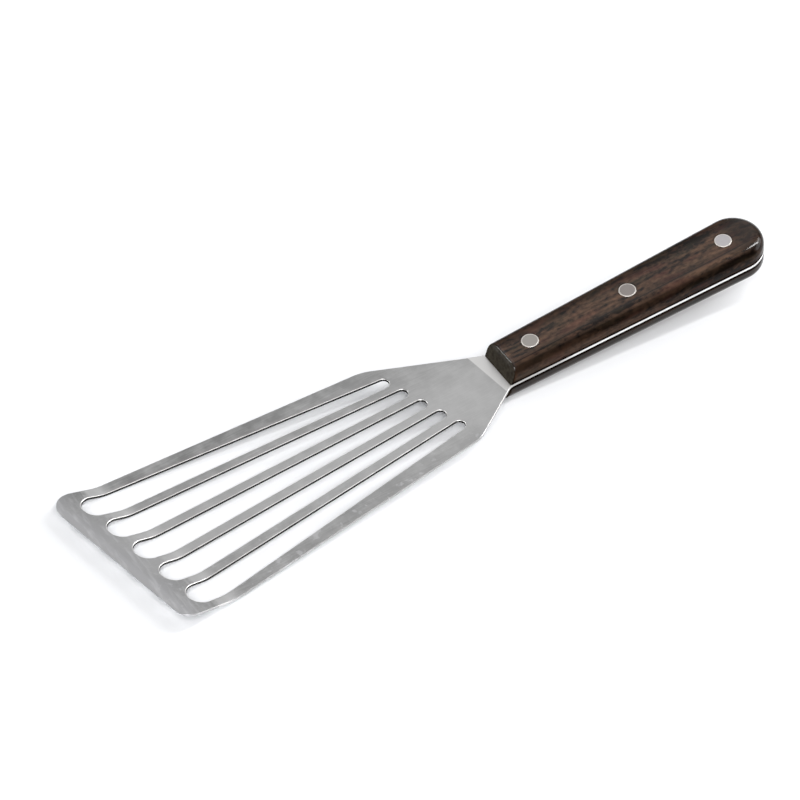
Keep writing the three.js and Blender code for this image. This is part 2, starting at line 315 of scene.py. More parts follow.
# %% Rows of both sides
BEVEL_REACH, BEND_HALF = 3, 0.35
BEVEL_ROWS, BAND_ROWS, SHOULDER_ROWS, BEND_ROWS = 12, 9, 24, 6
slot_left, slot_right = slot_side(1, ROLLED)[0], slot_side(-1, ROLLED)[0]
TIP_ENDS = WALKED[TIP - 1], WALKED[TIP]


def band_depths(apex):
    """Depths of rows from the front edge to a slot's front apex, crowding as a square at the edge."""
    ground = FACE_IN + (BEVEL_REACH - FACE_IN) * np.linspace(0, 1, BEVEL_ROWS) ** 2
    return np.append(ground, np.linspace(BEVEL_REACH, behind(FRONT_EDGE, apex), BAND_ROWS)[1:])


def side_rows(side, tip_end, axis, slot_rim):
    """Distances walked to every row of one side, by the part of the sheet that the rows belong to."""
    depths = band_depths(slot_rim[0])
    first = walked_to(side, FRONT_EDGE, depths[-1])
    last = walked_to(side, SLOT_BACKS, behind(SLOT_BACKS, slot_rim[-1]))
    share = (slot_rim - slot_rim[0]) @ axis / ((slot_rim[-1] - slot_rim[0]) @ axis)
    bend = walked_to(side, NECK_LINE, BEND_HALF * np.linspace(-1, 1, BEND_ROWS))
    return {
        "band": np.append(tip_end, walked_to(side, FRONT_EDGE, depths[1:])),
        "bars": first + share * (last - first),
        "shoulder": np.linspace(last, bend[0], SHOULDER_ROWS),
        "bend": bend,
    }


RIM = {
    "left": side_rows(LEFT, TIP_ENDS[0], SLOT_AXES[0], slot_left[0]),
    "right": side_rows(RIGHT, TIP_ENDS[1], SLOT_AXES[-1], slot_right[-1]),
}
print({name: {part: len(rows) for part, rows in parts.items()} for name, parts in RIM.items()})

# %% [markdown]
# ## The handle's stations
# The tang has three rivet holes on its middle line, and so have the scales. Cutting them afterwards would
# leave stray faces round each hole, so we build the handle in two halves. A half is ruled from its outer
# rim to the middle line, with a half circle where a hole is. All its pieces share these stations, counted
# from the butt to the front.

# %% Stations along the handle
RIVETS = np.array([105.4, 60.35, 15.3])
HEAD_RADIUS, TUBE_RADIUS, CLEARANCE = 3.5, 2.5, 0.1
HEAD_HOLE, SHANK_HOLE = HEAD_RADIUS + CLEARANCE, TUBE_RADIUS + CLEARANCE
STRAIGHT_FROM = 8
BUTT_ROWS, HOLE_ROWS, PLAIN_ROWS = 25, 13, 8
butt_angle = np.linspace(0, BUTT_TURN, BUTT_ROWS)
half_turn = np.linspace(0, math.pi, HOLE_ROWS)
stations = []
for rivet, following in zip(RIVETS, np.append(RIVETS[1:] + HEAD_HOLE, STRAIGHT_FROM)):
    plain = np.linspace(rivet - HEAD_HOLE, following, PLAIN_ROWS)[1:-1]
    stations.append(np.stack([np.full(HOLE_ROWS, rivet), np.cos(half_turn), np.sin(half_turn)]))
    stations.append(np.stack([plain, 0 * plain, 0 * plain]))
stations.append([[STRAIGHT_FROM], [0], [0]])
station_x, station_cos, station_sin = np.concatenate(stations, axis=1)
outer_x = station_x + HEAD_HOLE * station_cos


def middle_rim(radius):
    """Inner rim at the stations: the middle line, or a half circle of this radius round a rivet."""
    return np.stack([station_x + radius * station_cos, radius * station_sin], axis=-1)


def ruled(start, end, count):
    """Straight rows from each point of start to the same point of end, in count equal steps."""
    share = np.linspace(0, 1, count + 1)[:, None]
    return start[..., None, :] * (1 - share) + end[..., None, :] * share


print(len(outer_x), "stations, from", outer_x[0], "to", outer_x[-1])

# %% [markdown]
# ## Plan patches of the sheet
# The band at the tip and the shoulders are four-sided patches whose sides are given. Straight rows would
# miss their curved sides, so they are Coons patches: blend the two end rows, then add what the two sides
# bend away from straight. The bars are ruled from slot to slot.

# %% Patches of the blade
BAR_COLUMNS = 4
HALF_COLUMNS = (SLOTS + 1) * BAR_COLUMNS // 2


def coons(start, end, left, right, share):
    """Rows from start to end, blended by share, plus the sides' departures faded linearly across."""
    across = np.linspace(0, 1, len(start))[None, :, None]
    share = share[:, None, None]
    off_left = left[:, None] - (left[0] * (1 - share) + left[-1] * share)
    off_right = right[:, None] - (right[0] * (1 - share) + right[-1] * share)
    return start * (1 - share) + end * share + (1 - across) * off_left + across * off_right


def rim(name, part):
    """Rim points of the flat face for one part of one side."""
    return outline(RIM[name][part])[0]


def across_tool(left, right):
    """Rows straight across, in two halves that meet on the middle line, where y is 0."""
    middle = left + (left[:, 1] / (left[:, 1] - right[:, 1]))[:, None] * (right - left)
    halves = ruled(left, middle, HALF_COLUMNS), ruled(middle, right, HALF_COLUMNS)[:, 1:]
    return np.concatenate(halves, axis=1)


bar_left = np.concatenate([rim("left", "bars")[None], slot_right])
bar_right = np.concatenate([slot_left, rim("right", "bars")[None]])
bars = ruled(bar_left, bar_right, BAR_COLUMNS)
front_row = np.concatenate([bars[0, 0], *bars[1:, 0, 1:]])
back_row = np.concatenate([bars[0, -1], *bars[1:, -1, 1:]])
tip_walk = np.linspace(*TIP_ENDS, len(front_row))
depths = band_depths(slot_right[-1, 0])
band_share = (depths - FACE_IN) / (depths[-1] - FACE_IN)
band = coons(outline(tip_walk)[0], front_row, rim("left", "band"), rim("right", "band"), band_share)
bend = across_tool(rim("left", "bend"), rim("right", "bend"))
shoulder_share = np.linspace(0, 1, SHOULDER_ROWS)
shoulder = coons(back_row, bend[0], rim("left", "shoulder"), rim("right", "shoulder"), shoulder_share)
print("points across the blade:", len(front_row))

# %% [markdown]
# The tang runs from the neck bend to the butt. It is ruled in halves from its rim to the middle line, at
# the handle's stations, and its rows lean over to the slant of the bend as they near the neck.

# %% Patches of the tang
NECK_ROWS = 15
neck_share = np.linspace(0, 1, NECK_ROWS)[1:]


def tang_walk(side, name, butt_walk):
    """Distances walked along one side of the tang: round the butt, along the stations, then to the bend."""
    stretch = walked_to(side, HANDLE_FRONT, outer_x)
    neck = stretch[-1] + neck_share * (RIM[name]["bend"][-1] - stretch[-1])
    return np.concatenate([butt_walk, stretch, neck])


def tang_half(walked, side):
    """One half of the tang, ruled from its rim to the middle line and the rivet holes."""
    rim_points, _ = outline(walked)
    butt_middle = rim_points[:BUTT_ROWS] * [1, 0]
    neck_middle = STRAIGHT_FROM + neck_share * (bend[-1, HALF_COLUMNS, 0] - STRAIGHT_FROM)
    front_middle = np.stack([neck_middle, 0 * neck_middle], axis=-1)
    middle = np.concatenate([butt_middle, middle_rim(SHANK_HOLE) * [1, side], front_middle])
    return ruled(rim_points, middle, HALF_COLUMNS)


butt_walked = butt_angle * BUTT_RADIUS
tang_walks = [
    tang_walk(LEFT, "left", butt_walked),
    tang_walk(RIGHT, "right", WALKED[-1] - butt_walked),
]
tang_halves = [tang_half(walked, side) for walked, side in zip(tang_walks, (1, -1))]
PLAN = [band, *bars, shoulder, bend, *tang_halves]
print(len(PLAN), "patches,", sum(patch.shape[0] * patch.shape[1] for patch in PLAN), "points on a face")

# %% [markdown]
# ## Bending the sheet
# The press bends the flat blank twice: a slight set at the neck, and the lip at the tip, whose bend line
# follows the slanted front edge. Simple Deform modifiers could bend it, but not along slanted lines with a
# set radius. So the sheet's middle is a height over the plan, and its faces lie half a thickness above and
# below. The front edge is ground thin from above, so that it slides under food.

# %% Heights of the sheet
THICKNESS, EDGE_THICKNESS, NECK_BEND = 1.2, 0.6, math.radians(2.4)
LIP_REACH, LIP_ANGLE, LIP_RADIUS = 22.7, math.radians(18), 14
SETTLING_ROUNDS = 4
NECK_ALONG = -right_of(NECK_LINE[1])


def lip(depth):
    """Rise and slope of the lip at a depth behind the front edge: level, an arc, then a straight slope."""
    run = LIP_REACH - depth
    arc_run = LIP_RADIUS * math.sin(LIP_ANGLE)
    on_arc = np.clip(run, 0, arc_run)
    chord = np.sqrt(LIP_RADIUS**2 - on_arc**2)
    return LIP_RADIUS - chord + np.maximum(run - arc_run, 0) * math.tan(LIP_ANGLE), on_arc / chord


def sheet_faces(plan):
    """Heights of the top and bottom faces over plan points. The blade's plane rises from the neck bend,
    which is a short parabola, and the lip rises from that plane. Depth and rise are settled by a few rounds
    of substitution."""
    neck, straight_back = NECK_LINE
    ahead = -behind(NECK_LINE, plan)
    beside = (plan - neck) @ NECK_ALONG
    eased = (np.clip(ahead, -BEND_HALF, BEND_HALF) + BEND_HALF) ** 2 / (4 * BEND_HALF)
    middle = (eased + np.maximum(ahead - BEND_HALF, 0)) * math.tan(NECK_BEND)
    rise = 0 * ahead
    for _ in range(SETTLING_ROUNDS):
        along = -(ahead + rise * math.sin(NECK_BEND)) / math.cos(NECK_BEND)
        on_blade = along[..., None] * straight_back + beside[..., None] * NECK_ALONG
        depth = behind(FRONT_EDGE, on_blade + neck)
        rise, slope = lip(depth)
    middle = middle + rise / math.cos(NECK_BEND)
    upright = THICKNESS / 2 * np.sqrt(1 + slope**2)
    taken_off = (THICKNESS - EDGE_THICKNESS) / math.cos(LIP_ANGLE) * np.clip(1 - depth / BEVEL_REACH, 0, 1)
    return middle + upright - taken_off, middle - upright


tip_top, tip_bottom = sheet_faces(on_front_line(0, 0))
print(f"the front edge is at {tip_bottom:.2f} to {tip_top:.2f} mm")

# %% [markdown]
# ## The sheet's walls
# A wall joins the two faces along a rim. Solidify could raise it, but a punch rounds the top corner of a
# slot and leaves the bottom one nearly square, so we give the wall its own profile.

# %% Walls of the sheet
QUARTER_ROWS, SQUARE_DROP = 4, 0.1


def lifted(plan, height):
    """Plan points with their heights."""
    return np.concatenate([plan, height[..., None]], axis=-1)


def wall(rim_points, outward, radius, lower_drop):
    """The sheet's wall along a rim: a quarter round from the top face, an upright, and below it a quarter
    of an ellipse as wide as the round, which drops by less where the corner was left nearly square."""
    quarter = np.linspace(0, math.pi / 2, QUARTER_ROWS)
    sunk = 1 - np.cos(quarter)
    plan = rim_points[:, None] + radius * np.sin(quarter)[:, None] * outward[:, None]
    top, bottom = sheet_faces(plan)
    upper, lower = lifted(plan, top - radius * sunk), lifted(plan, bottom + lower_drop * sunk)
    return np.concatenate([upper, lower[:, ::-1]], axis=1)


side_walks = [*RIM["left"].values(), *RIM["right"].values()]
rim_walk = np.unique(np.concatenate([tip_walk, *tang_walks, *side_walks]))
outer_wall = wall(*outline(rim_walk), EDGE, EDGE)
slot_walls = []
for side in (1, -1):
    for points, into_metal in zip(*slot_side(side, ROLLED)):
        slot_walls.append(wall(points, -into_metal, ROLLED, SQUARE_DROP))
print(len(rim_walk), "rows round the sheet, and", len(slot_walls), "walls in the slots")

# %% [markdown]
# The two faces, the rivet holes and the walls close the shell. One finish for all would be simpler, but
# each wall shows how it was made: satin on the blade's outer side, polished on the tang, the neck and the
# slots' rolled rims, and below those punched and rough, painted near black as shade. So each grid carries
# the number of its finish.

# %% The blade and tang
BRIGHT_COLUMNS, POLISHED_TO = 3, -18
# the punched finish is painted near black, as shade
SATIN, BRIGHT, PUNCHED_SHADED = 0, 1, 2
HOLE_POINTS = 2 * HOLE_ROWS - 1


def turned(profile, x, points):
    """Rings of a profile's radii and heights round a rivet's axis: x + r cos a, r sin a, z."""
    radius, height = np.array(profile).T
    angle = np.linspace(0, 2 * math.pi, points)[:, None]
    return np.stack([x + radius * np.cos(angle), radius * np.sin(angle), height + 0 * angle], axis=-1)


faces = [lifted(patch, height) for patch in PLAN for height in sheet_faces(patch)]
hole = [(SHANK_HOLE, THICKNESS / 2), (SHANK_HOLE, -THICKNESS / 2)]
holes = [turned(hole, x, HOLE_POINTS) for x in RIVETS]
first, last = np.flatnonzero(outer_wall[:, 0, 0] < POLISHED_TO)[[0, -1]]
by_finish = {
    SATIN: [*faces, *holes, outer_wall[first:last + 1]],
    BRIGHT: [outer_wall[:first + 1], outer_wall[last:], *[grid[:, :BRIGHT_COLUMNS] for grid in slot_walls]],
    PUNCHED_SHADED: [grid[:, BRIGHT_COLUMNS - 1:] for grid in slot_walls],
}
sheet_grids = [grid for grids in by_finish.values() for grid in grids]
sheet_finishes = [finish for finish, grids in by_finish.items() for _ in grids]
blade = weld("satin_blade_and_tang", sheet_grids, sheet_finishes)
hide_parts("blade_and_tang")

# %% [markdown]
# ## The scales
# A scale is a slab of dark hardwood, flat on the tang, sawn to the tang's outline and then rounded over on
# its outer side. A bevelled slab would come close, but the real round is flatter than a circle. So its
# shape is a profile carried round the outline: up the wall, and a quarter of an ellipse onto the top. Its
# front end is sawn on a lean and its arris is eased with sandpaper, so near the front the profile shrinks
# by a small quarter round.

# %% The scales' profile
BOND, SCALE_THICKNESS, FRONT_LEAN, ARRIS = 0.7, 7.5 - POLISH, math.radians(22), 0.9
ROUND_REACH, ROUND_DROP = 5, 4.6
WALL_ROWS, ROUND_ROWS, LEAN_ROWS, ARRIS_ROWS = 4, 16, 5, 6
round_angle = np.append(np.zeros(WALL_ROWS), np.linspace(0, math.pi / 2, ROUND_ROWS + 1)[1:])
wall_height = SCALE_THICKNESS - ROUND_DROP
rounded_up = wall_height + ROUND_DROP * np.sin(round_angle[WALL_ROWS:])
profile_up = np.append(np.linspace(0, wall_height, WALL_ROWS), rounded_up)
profile_in = POLISH + ROUND_REACH * (1 - np.cos(round_angle))


def scale_side(side):
    """One side wall of a scale, stations by profile points. The profile turns about the butt's centre,
    keeps its distance from the rim along the handle, and at the front slides onto the leaning cut and
    shrinks by the arris, a quarter round: radius times one minus sine, or cosine."""
    up = side * (BOND + profile_up)
    reach = BUTT_RADIUS - profile_in
    round_butt = BUTT_X + reach * np.cos(butt_angle)[:, None], reach * np.sin(butt_angle)[:, None], up
    butt = np.stack(np.broadcast_arrays(*round_butt), axis=-1)
    ease = np.append(np.full(LEAN_ROWS, math.pi / 2), np.linspace(math.pi / 2, 0, ARRIS_ROWS + 1)[1:])
    shrink = ARRIS * (1 - np.sin(ease))[:, None]
    front_up = side * (BOND + profile_up - shrink * np.sin(round_angle))
    front_x = (front_up - BOND) * math.tan(FRONT_LEAN) + ARRIS * (1 - np.cos(ease))[:, None]
    stay = np.append(np.linspace(1, 0, LEAN_ROWS + 1)[1:], np.zeros(ARRIS_ROWS))[:, None]
    x = np.concatenate([outer_x[:, None] + 0 * up, stay * STRAIGHT_FROM + (1 - stay) * front_x])
    pulled = np.concatenate([np.zeros((len(outer_x), len(up))), shrink * np.cos(round_angle)])
    y = FRONT_HALF + x * math.tan(SIDE_ANGLE) - (profile_in + pulled) / math.cos(SIDE_ANGLE)
    z = np.concatenate([up + 0 * outer_x[:, None], front_up])
    return np.concatenate([butt, np.stack([x, y, z], axis=-1)])


print(f"the wall of a scale is {wall_height:.2f} mm high, and its round drops {ROUND_DROP} mm")

# %% [markdown]
# A scale's shell is two such walls, its inner and outer faces in halves, and the front end. The bores are
# stepped, wide for a rivet's head and narrow for its shank, so each is four rings.

# %% Two scales
HEAD_SEAT = 6.15
MIRRORED = [1, -1, 1]


def scale_piece(name, side):
    """The closed shell of a scale, above the tang (1) or under it (-1)."""
    left = scale_side(side)
    right = left * MIRRORED
    grids = [left, right]
    on_stations = slice(BUTT_ROWS, BUTT_ROWS + len(outer_x))
    for edge, radius in ((0, SHANK_HOLE), (-1, HEAD_HOLE)):
        middle = left[:, edge] * [1, 0, 1]
        middle[on_stations, :2] = middle_rim(radius)
        face = ruled(left[:, edge], middle, HALF_COLUMNS)
        grids += [face, face * MIRRORED]
    grids.append(ruled(left[-1], right[-1], 2 * HALF_COLUMNS))
    top, seat = BOND + SCALE_THICKNESS, HEAD_SEAT - CLEARANCE
    steps = ((HEAD_HOLE, top), (HEAD_HOLE, seat), (SHANK_HOLE, seat), (SHANK_HOLE, BOND))
    grids += [turned(steps, x, HOLE_POINTS) * [1, 1, side] for x in RIVETS]
    piece = weld(name, grids)
    return piece


upper = scale_piece("rosewood_upper_scale", 1)
lower = scale_piece("rosewood_lower_scale", -1)
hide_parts("upper_scale")
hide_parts("lower_scale")

# %% [markdown]
# ## The rivets
# A compression rivet comes in two halves, both turned on a lathe: a head on a pin, and a head on a tube
# that the pin is hammered into. The heads are then ground flush with the wood, which leaves a slightly
# broken rim. The Screw modifier could turn them, but the rings that made the holes do it too, from a
# profile of radius and height.

# %% Three pins and three sockets
PIN_RADIUS, BROKEN_RIM, END_GAP, HEAD_FACE = 1.6, 0.25, 0.6, 8.15 - POLISH
RIM_POINTS, TURNED_POINTS = 6, 65
FACE, RIM_RING = 0, 1
rim_angle = np.linspace(0, math.pi / 2, RIM_POINTS)
rim_radius = HEAD_RADIUS - BROKEN_RIM * (1 - np.sin(rim_angle))
broken = zip(rim_radius, HEAD_FACE - BROKEN_RIM * (1 - np.cos(rim_angle)))
head = [(0, HEAD_FACE), (HEAD_RADIUS - 2 * BROKEN_RIM, HEAD_FACE), *broken, (HEAD_RADIUS, HEAD_SEAT)]
end, bore = END_GAP - HEAD_SEAT, PIN_RADIUS + CLEARANCE
pin = [*head, (PIN_RADIUS, HEAD_SEAT), (PIN_RADIUS, end), (0, end)]
tube = [(TUBE_RADIUS, HEAD_SEAT), (TUBE_RADIUS, end), (bore, end), (bore, HEAD_SEAT)]
socket = [*head, *tube, (0, HEAD_SEAT)]
rivet_halves = {}
for x, place in zip(RIVETS, ("rear", "middle", "front")):
    rivet_halves[place] = []
    for half, profile, side in (("pin", pin, 1), ("socket", socket, -1)):
        rings = turned(profile, x, TURNED_POINTS) * [1, 1, side]
        parts = [rings[:, :2], rings[:, 1:RIM_POINTS + 2], rings[:, RIM_POINTS + 1:]]
        piece = weld(f"ground_{place}_rivet_{half}", parts, [FACE, RIM_RING, FACE])
        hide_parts(f"{place}_rivet_{half}")
        rivet_halves[place].append(piece)

# %% [markdown]
# ## Colours and nodes
# Colours are picked as the eye sees them, as sRGB hex, and shaders want linear light, so one function
# converts. One more adds a node with its settings and its links, and gives back what comes out of it. A
# material could read the object's plain coordinates, but grain and belt lines follow the tool. So the place
# is turned by the rest tilt and measured in millimetres, with x along the handle, as on the drawing board.

# %% Helpers for nodes
def linear(hex_colour):
    """sRGB hex to linear RGBA: the standard curve, with its straight foot below 0.04045."""
    seen = np.array([int(hex_colour[i:i + 2], 16) for i in (1, 3, 5)]) / 255
    return (*np.where(seen <= 0.04045, seen / 12.92, ((seen + 0.055) / 1.055) ** 2.4), 1.0)


def feed(node, inputs):
    """Gives each named socket of a node its value, or links it to the output that feeds it."""
    for name, value in inputs.items():
        if isinstance(value, bpy.types.NodeSocket):
            node.id_data.links.new(value, node.inputs[name])
        else:
            node.inputs[name].default_value = value


def add(tree, kind, inputs, **settings):
    """Adds one shader node, sets its properties, feeds its sockets, and returns its first live output."""
    node = tree.nodes.new("ShaderNode" + kind)
    for name, value in settings.items():
        setattr(node, name, value)
    feed(node, inputs)
    return next(output for output in node.outputs if output.enabled)


def material(name):
    """A material with its tree, its surface shader, and the place on the tool's own axes in millimetres."""
    made = bpy.data.materials.new(name)
    made.use_nodes = True
    tree = made.node_tree
    place = add(tree, "TexCoord", {}).node.outputs["Object"]
    shift = -np.array(Matrix.Rotation(REST_TILT, 3, "Y")) @ TOOL_AT
    turn = {"Vector": place, "Location": shift, "Rotation": (0, REST_TILT, 0), "Scale": (1 / MM,) * 3}
    return made, tree, tree.nodes["Principled BSDF"], add(tree, "Mapping", turn)


print("mid grey in linear light:", np.round(linear("#808080")[:3], 3))

# %% [markdown]
# ## Unevenness
# No real surface is even, and its marks have a size and a place. Image textures could show them, but they
# would have to be painted and stored. Three small recipes of nodes do it here: patches of a given size in
# millimetres, a share that says where something shows, and tints laid over a colour one after another.

# %% Patches, shares and tints
def patches(place, length, width, detail, roughness=0.5, skew=0.0):
    """Uneven patches between 0 and 1, about this long and this wide in millimetres: noise at the place,
    which is divided by the patches' size and then turned."""
    size = (1 / length, 1 / width, 1 / width)
    tree = place.id_data
    sized = add(tree, "Mapping", {"Vector": place, "Rotation": (0, 0, skew), "Scale": size})
    look = {"Vector": sized, "Scale": 1.0, "Detail": detail, "Roughness": roughness}
    return add(tree, "TexNoise", look)


def where(*spans):
    """How strongly something shows: the strongest of its spans. A span is a value, where its share starts,
    where it is full, and how strong it is then, which is 1 unless it says otherwise. A share made before is
    one too."""
    strongest = None
    for span in spans:
        if isinstance(span, tuple):
            value, none, full, amount = span if len(span) == 4 else (*span, 1.0)
            ends = {"Value": value, "From Min": none, "From Max": full, "To Max": amount}
            span = add(value.id_data, "MapRange", ends)
        if strongest is None:
            strongest = span
        else:
            strongest = add(span.id_data, "Math", {0: strongest, 1: span}, operation="MAXIMUM")
    return strongest


def laid_over(colour, *layers):
    """Tints laid over a colour in turn. A layer is a tint and the spans that say where it shows."""
    colour = linear(colour) if isinstance(colour, str) else colour
    for tint, *spans in layers:
        share = where(*spans)
        mix = {"Factor": share, "A": colour, "B": linear(tint)}
        colour = add(share.id_data, "Mix", mix, data_type="RGBA")
    return colour


print("recipes:", [recipe.__name__ for recipe in (patches, where, laid_over)])

# %% [markdown]
# ## Satin stainless steel
# The sheet is stainless steel with a satin finish, brushed along the tool by a fine abrasive belt. One grey
# with an anisotropic shine could stand for it, but this sheet has been used. So it gets fine streaks along
# the blade, slow clouds where the belt pressed harder, rubbing marks across the lip and a few scuffs near
# the right edge.

# %% Marks on the sheet
# gives the eye a soft grey with no clear mirror image
steel, tree, surface, own = material("satin stainless steel")
# belt lines are about 0.05 mm apart, too fine for the render, so they are drawn 0.5 mm apart
streak = patches(own, 12, 0.5, 3.0)
cloud = patches(own, 7, 7, 4.0, roughness=0.6)
worn = add(tree, "Math", {0: streak, 1: 0.5, 2: cloud}, operation="MULTIPLY_ADD")
along, side, _ = add(tree, "SeparateXYZ", {"Vector": own}).node.outputs


def place_behind(line, place):
    """Distance behind a line for the place in a shader, in millimetres."""
    start, straight_back = line
    reach = add(place.id_data, "VectorMath", {0: place, 1: (*straight_back, 0)}, operation="DOT_PRODUCT")
    return add(place.id_data, "Math", {0: reach, 1: start @ straight_back}, operation="SUBTRACT")


depth = place_behind(FRONT_EDGE, own)
ragged = add(tree, "Math", {0: cloud, 1: 10, 2: depth}, operation="MULTIPLY_ADD")
rub = where((patches(own, 1.6, 9, 3.0, skew=-TIP_SKEW), 0.5, 0.72, where((depth, 20, 13, 0.6))))
scuff = where((patches(own, 3, 3, 2.0), 0.6, 0.68, where((side, -16, -26, 0.5))))
print("nodes for the sheet's marks:", len(tree.nodes))

# %% [markdown]
# The ground strip at the front edge is brighter than the rest, because it was worked again after brushing.
# The lighter band on the lip's bend is a painted highlight, and the bright band that stops at the line of
# the neck bend is a painted reflection of that bend. The middle of the blade is painted paler than its
# sides, as painted reflection. All these are tints over one grey.

# %% The sheet's finish
satin = laid_over(
    "#9a9a9a",
    # painted reflection: the blade is paler in its middle and right half than at its left edge
    ("#c4c4c4", (side, 28, 0)),
    ("#aaaaaa", (side, -12, -28)),
    ("#dddddd", (along, -100, -15, 0.22)),
    ("#d2d2d5", (depth, 21, 12, 0.12)),
    ("#dddddd", (worn, 0.6, 1.2, 0.8)),
    ("#c3c3c5", (ragged, 15, 8)),
    ("#e0e0e2", rub, scuff),
    # painted highlight: a lighter band across the bars where the lip bends
    ("#dcdcdc", (ragged, 18, 21, where((ragged, 31, 25)))),
    # painted reflection: the bright band behind the neck bend
    ("#f6f5f4", (place_behind(NECK_LINE, own), -0.2, 0.2)),
)
ends = {"Value": worn, "From Min": 0.45, "From Max": 1.05, "To Min": 0.42, "To Max": 0.32}
rough = add(tree, "MapRange", ends)
bump = add(tree, "Bump", {"Height": streak, "Strength": 0.05, "Distance": 0.1 * MM})
feed(surface, {"Base Color": satin, "Metallic": 1.0, "Roughness": rough, "Normal": bump})
print("nodes in the sheet's finish:", len(tree.nodes))

# %% [markdown]
# ## Polished steel
# The tang's rim was ground flush with the scales and polished with them, and the slots' rims were rolled
# smooth, so both are bright. We could make them mirrors, but fine nicks spread their light. The neck's
# corners were only eased with a file, which leaves them greyer.

# %% Bright rims
# gives the eye a thin white line along the handle and round the slots
rim_steel, tree, surface, own = material("polished steel rim")
nick = patches(own, 3, 3, 3.0)
along = add(tree, "SeparateXYZ", {"Vector": own})
filed = where((along, 30, 22, where((along, -24, -20))))
bright = laid_over("#e6e4e2", ("#ffffff", nick), ("#c9c7c5", filed))
rough = add(tree, "MapRange", {"Value": nick, "To Min": 0.3, "To Max": 0.5})
feed(surface, {"Base Color": bright, "Metallic": 1.0, "Roughness": rough})
print("nodes in the rims' finish:", len(tree.nodes))

# %% [markdown]
# ## Punched steel, with painted shade
# Below their rims the slots were only punched. The punch cuts cleanly at the top and tears the rest of the
# wall, which stays rough; its near-black colour is painted shade. Real tears could be modelled, but the wall
# is a pixel or two wide in the picture, so a bump is enough.

# %% Punched walls, painted dark as shade
# gives the eye a dark line under each bright rim; the dark is painted shade
shaded_punched_steel, tree, surface, own = material("punched steel wall, painted dark")
tear = patches(own, 0.6, 0.6, 3.0)
# painted shade: the wall's colour is kept near black
painted_shade_wall_colour = laid_over("#1f1e1d", ("#454342", tear))
bump = add(tree, "Bump", {"Height": tear, "Strength": 0.4, "Distance": 0.1 * MM})
feed(surface, {"Base Color": painted_shade_wall_colour, "Metallic": 1.0, "Roughness": 0.55, "Normal": bump})
for finish in (steel, rim_steel, shaded_punched_steel):
    blade.data.materials.append(finish)
print("finishes on the sheet:", [finish.name for finish in blade.data.materials])

# %% [markdown]
# ## Dark oiled hardwood
# The scales are a rosewood-like hardwood, planed along the grain. The plane cuts through years of growth,
# which leaves broad bands, shorter streaks, and small flecks where rays cross the grain. A Wave texture
# could draw the bands, but they would be too regular. Noise that is stretched along the handle draws all
# three, and their sum picks a brown between nearly black and a greyish red brown.

# %% The wood's figure
# gives the eye a dark brown with fine broken lines along the handle
wood, tree, surface, own = material("oiled rosewood")
broad, streak, fleck = patches(own, 60, 4, 1.0), patches(own, 10, 1.7, 3.0), patches(own, 2.4, 1.3, 3.0)
figure = add(tree, "Math", {0: broad, 1: fleck}, operation="ADD")
figure = add(tree, "Math", {0: streak, 1: 0.8, 2: figure}, operation="MULTIPLY_ADD")
tinge = patches(own, 14, 3.5, 1.0)
brown = laid_over(
    "#130b08",
    ("#5a4334", (figure, 1.16, 1.68)),
    ("#3a3326", (tinge, 0.55, 0.7, 0.4)),
    ("#57332a", (tinge, 0.45, 0.3, 0.35)),
)
print("bands, streaks and flecks:", len(tree.nodes), "nodes")

# %% [markdown]
# The handle was stained. The pores, a few growth lines and the butt drank more of the stain and are nearly
# black, and a band beside the tang is nearly black too. The rounded sides and the left edge are darkened as
# painted shade, less so low on the upper scale's side. The leaning front end was sawn last, so it shows
# pale, mottled end grain. Most of these are spans of some distance.

# %% Stain and painted shade
WANDER = 1.6
along, side, up_down = add(tree, "SeparateXYZ", {"Vector": own}).node.outputs
height = add(tree, "Math", {0: up_down}, operation="ABSOLUTE")
wander = add(tree, "Math", {0: broad, 1: WANDER, 2: side}, operation="MULTIPLY_ADD")
opening = {0: along, 1: -math.tan(SIDE_ANGLE), 2: side}
from_middle = add(tree, "Math", opening, operation="MULTIPLY_ADD")
leaning = {0: up_down, 1: -math.tan(FRONT_LEAN), 2: along}
behind_cut = add(tree, "Math", leaning, operation="MULTIPLY_ADD")


def growth_line(at, half_width, amount):
    """The span of a dark line along the handle at a side distance. It wanders with the broad bands, which
    shift it by half the wander on average."""
    off = add(tree, "Math", {0: wander, 1: at + WANDER / 2}, operation="SUBTRACT")
    return add(tree, "Math", {0: off}, operation="ABSOLUTE"), half_width, 0, amount


pore = where((patches(own, 14, 0.6, 1.0), 0.66, 0.8, 0.6))
# the painted shade on the upper scale's side is lighter low down, near the tang
on_upper = where((up_down, -BOND, BOND, 0.3))
lighter_low_on_upper = where((up_down, 6, 4, on_upper))
# painted shade: the rounded sides are darkened towards near black
painted_side_shade = where((height, 8.1, 7.2, 0.8))
painted_side_shade = add(tree, "Math", {0: painted_side_shade, 1: lighter_low_on_upper}, operation="SUBTRACT")
# nearly black beside the tang
dark_by_tang = (height, 2.4, 1.5, 0.95)
# painted shade: the top darkens towards its left edge
painted_shade_left_edge = (from_middle, 1.5, 4.2, 0.55)
dark_butt = (along, 101, 112, 0.7)
cut_edge = (behind_cut, 0.5, 0.3, 0.9)
lines = growth_line(-6, 0.9, 0.9), growth_line(-5.5, 2.2, 0.5), growth_line(0.1, 0.6, 0.35)
sawn = where((patches(own, 1.5, 1.5, 3.0), 0.1, 0.8, where((behind_cut, 0.2, 0.05, 0.85))))
stained = laid_over(
    brown,
    ("#0b0705", pore, *lines, painted_shade_left_edge, painted_side_shade, dark_by_tang, dark_butt, cut_edge),
    ("#4c4840", sawn),
)
print("with the stain:", len(tree.nodes), "nodes")
